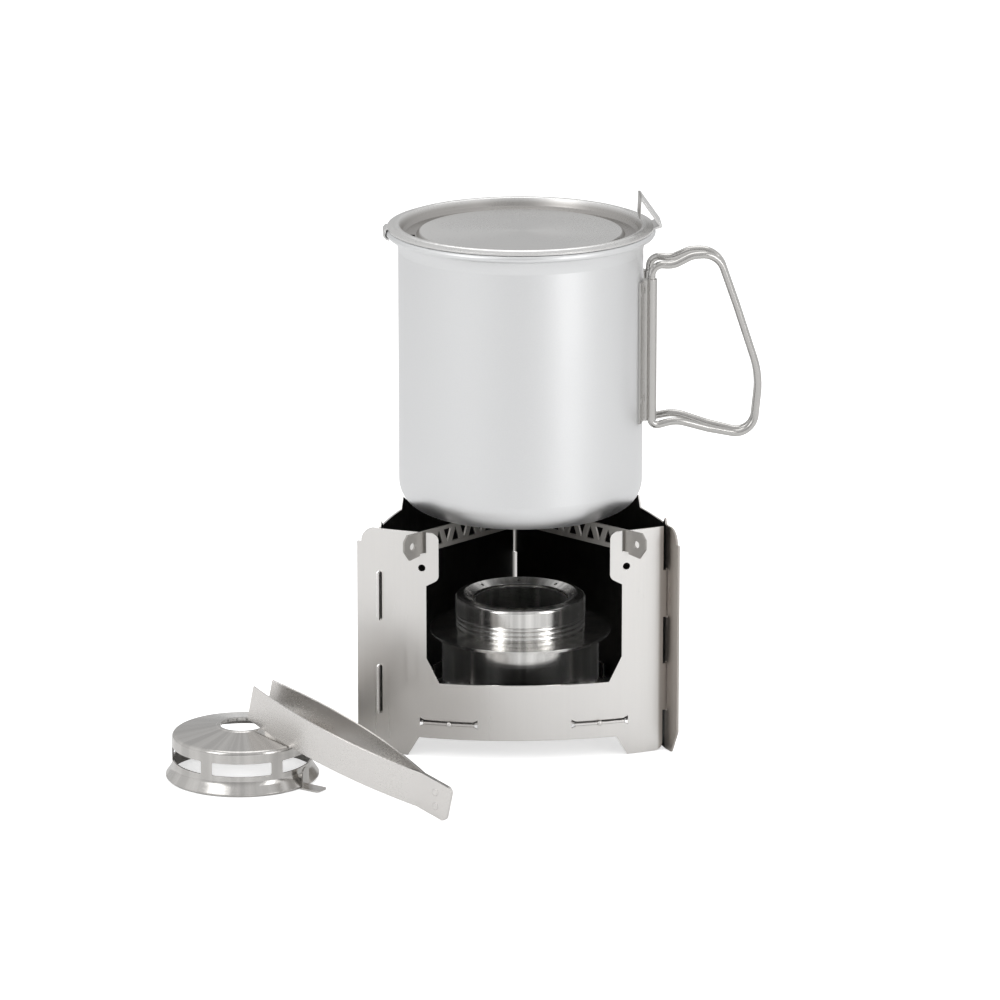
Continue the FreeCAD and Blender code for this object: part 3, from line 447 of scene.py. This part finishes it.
def make_floor():
    mesh = bpy.data.meshes.new("studio_floor")
    half = FLOOR_HALF
    corners = [(-half, -half, 0.0), (half, -half, 0.0), (half, half, 0.0), (-half, half, 0.0)]
    mesh.from_pydata(corners, [], [(0, 1, 2, 3)])
    floor = bpy.data.objects.new("studio_floor", mesh)
    bpy.context.collection.objects.link(floor)
    floor.location.z = -FLOOR_GAP
    paint = Paint("studio_white")
    cloud = paint.noise(paint.place, 3.0)
    paint.set("Base Color", paint.blend(cloud, rgb(0.86, 0.86, 0.86), rgb(0.9, 0.9, 0.9)))
    paint.set("Roughness", 0.9)
    paint.set("Specular IOR Level", 0.1)
    paint.set("Emission Color", rgb(1.0, 1.0, 1.0))
    paint.set("Emission Strength", paint.math("MULTIPLY", seen_by_camera(paint.tree), FLOOR_GLOW))
    mesh.materials.append(paint.material)


def area_light(name, place, aim, size, power):
    lamp = bpy.data.lights.new(name, "AREA")
    lamp.shape = "RECTANGLE"
    lamp.size, lamp.size_y = size
    lamp.energy = power
    thing = bpy.data.objects.new(name, lamp)
    bpy.context.collection.objects.link(thing)
    thing.location = place
    thing.rotation_euler = (Vector(aim) - Vector(place)).to_track_quat("-Z", "Y").to_euler()
    return thing


def make_room():
    """A white room to the camera. In reflections it is dark ahead, bright at both sides and above."""
    world = bpy.data.worlds.new("studio")
    bpy.context.scene.world = world
    world.use_nodes = True
    tree = world.node_tree

    def math_node(operation, first, second):
        made = tree.nodes.new("ShaderNodeMath")
        made.operation = operation
        for socket, value in zip(made.inputs, (first, second)):
            if isinstance(value, bpy.types.NodeSocket):
                tree.links.new(value, socket)
            else:
                socket.default_value = value
        return made.outputs[0]

    direction = tree.nodes.new("ShaderNodeSeparateXYZ")
    tree.links.new(tree.nodes.new("ShaderNodeTexCoord").outputs["Generated"], direction.inputs[0])
    sides = math_node("POWER", math_node("ABSOLUTE", direction.outputs["X"], 0.0), 1.6)
    above = math_node("MAXIMUM", direction.outputs["Z"], 0.0)
    side_light = math_node("MULTIPLY", sides, ROOM_SIDES)
    top_light = math_node("MULTIPLY", above, ROOM_TOP)
    light = math_node("ADD", math_node("ADD", side_light, top_light), ROOM_DARK)
    strength = math_node("MAXIMUM", light, seen_by_camera(tree))
    background = tree.nodes["Background"]
    background.inputs["Color"].default_value = rgb(1.0, 1.0, 1.0)
    tree.links.new(strength, background.inputs["Strength"])


BURNER_LAMP_AWAY = 0.6
BURNER_LAMPS = (
    # name, angle from the front in degrees, width in metres, watts
    ("burner_left", -40.0, 0.06, 0.7),
    ("burner_right", 50.0, 0.08, 0.9),
    ("burner_far_left", -110.0, 0.40, 3.4),
    ("burner_far_right", 115.0, 0.40, 3.8),
)


def make_lights():
    """Three soft lights for everything, and four that reach only the burner in its dark stand."""
    make_room()
    target = (0.0, 0.0, 0.09)
    area_light("key_left", (-1.0, -0.9, 0.9), target, (0.7, 0.9), 3.4)
    area_light("fill_right", (0.9, -1.0, 0.5), target, (0.35, 0.9), 3.0)
    area_light("top", (0.0, 0.3, 1.4), target, (1.0, 1.0), 4.0)
    burner_only = bpy.data.collections.new("burner_only")
    for node in BURNER_STEEL_NODES:
        burner_only.objects.link(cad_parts[node])
    for name, turn, width, power in BURNER_LAMPS:
        angle = math.radians(turn)
        away = BURNER_LAMP_AWAY
        place = (away * math.sin(angle), -away * math.cos(angle), 0.16)
        lamp = area_light(name, place, (0.0, 0.0, 0.04), (width, 0.5), power)
        lamp.light_linking.receiver_collection = burner_only
        lamp.light_linking.blocker_collection = burner_only


CAMERA_TURN = math.radians(-1.9)
CAMERA_RISE = math.radians(15.0)
CAMERA_AWAY = 2.3715
CAMERA_AIM = Vector((0.0, 0.0, 0.0915))
CAMERA_SIDE = -0.0081
CAMERA_LIFT = 0.0016
LENS_PER_WIDTH = 6.0
SENSOR = 36.0


def make_camera():
    turn, rise = CAMERA_TURN, CAMERA_RISE
    back = Vector((math.sin(turn) * math.cos(rise), -math.cos(turn) * math.cos(rise), math.sin(rise)))
    right = Vector((math.cos(turn), math.sin(turn), 0.0))
    up = back.cross(right)
    data = bpy.data.cameras.new("camera")
    data.sensor_width = SENSOR
    data.lens = SENSOR * LENS_PER_WIDTH
    data.clip_start, data.clip_end = 0.05, 50.0
    camera = bpy.data.objects.new("camera", data)
    bpy.context.collection.objects.link(camera)
    camera.location = CAMERA_AIM + back * CAMERA_AWAY + right * CAMERA_SIDE + up * CAMERA_LIFT
    camera.rotation_euler = (-back).to_track_quat("-Z", "Y").to_euler()
    bpy.context.scene.camera = camera


dress_all()
make_floor()
make_lights()
make_camera()
bpy.context.scene.view_settings.view_transform = "Standard"
bpy.context.scene.view_settings.look = "None"
